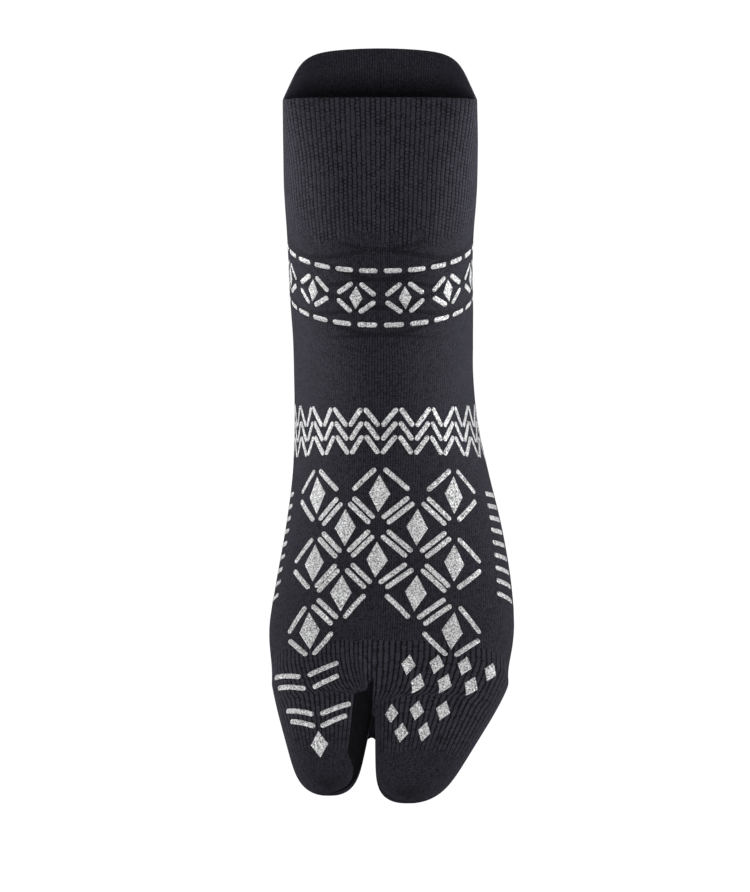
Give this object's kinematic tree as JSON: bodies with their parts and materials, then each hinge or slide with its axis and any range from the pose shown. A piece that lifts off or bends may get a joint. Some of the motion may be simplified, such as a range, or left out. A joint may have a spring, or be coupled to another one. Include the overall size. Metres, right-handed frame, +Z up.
{
  "type": "pilates grip sock",
  "caption": "Split-toe grip sock for a left foot, in its worn form: ribbed cuff, fine knit leg and foot, shaped heel, closed toe pockets and round silicone grips under the sole.",
  "frame": {"origin": "centre of the leg opening, level with the front and back of the cuff's edge", "axes": "+Z up along the leg, out of the opening; -Y towards the toes, which point forward and down; +X towards the small toes"},
  "size_m": [0.0963, 0.1983, 0.262],
  "materials": {
    "rib_knit": "ribbed charcoal knit",
    "fine_knit": "fine plain charcoal knit",
    "heel_knit": "close charcoal knit, a little thicker",
    "toe_knit": "smooth close charcoal knit with a linked seam",
    "silver_print": "silver glitter foil print on the knit",
    "silicone": "black silicone, satin"
  },
  "bodies": {
    "root": {"ribbed_cuff": "rib_knit", "leg_tube": "fine_knit", "heel_pocket": "heel_knit", "foot_tube": "fine_knit", "big_toe_cap": "toe_knit", "small_toes_cap": "toe_knit", "grip_01": "silicone", "grip_02": "silicone", "grip_03": "silicone", "grip_04": "silicone", "grip_05": "silicone", "grip_06": "silicone", "grip_07": "silicone", "grip_08": "silicone", "grip_09": "silicone", "grip_10": "silicone", "grip_11": "silicone", "grip_12": "silicone", "grip_13": "silicone", "grip_14": "silicone", "grip_15": "silicone", "grip_16": "silicone", "grip_17": "silicone", "grip_18": "silicone", "grip_19": "silicone", "grip_20": "silicone", "grip_21": "silicone", "grip_22": "silicone", "grip_23": "silicone", "grip_24": "silicone", "grip_25": "silicone", "grip_26": "silicone", "grip_27": "silicone", "grip_28": "silicone", "grip_29": "silicone", "grip_30": "silicone", "grip_31": "silicone", "grip_32": "silicone", "grip_33": "silicone", "grip_34": "silicone", "grip_35": "silicone", "grip_36": "silicone", "grip_37": "silicone"}
  },
  "joints": []
}
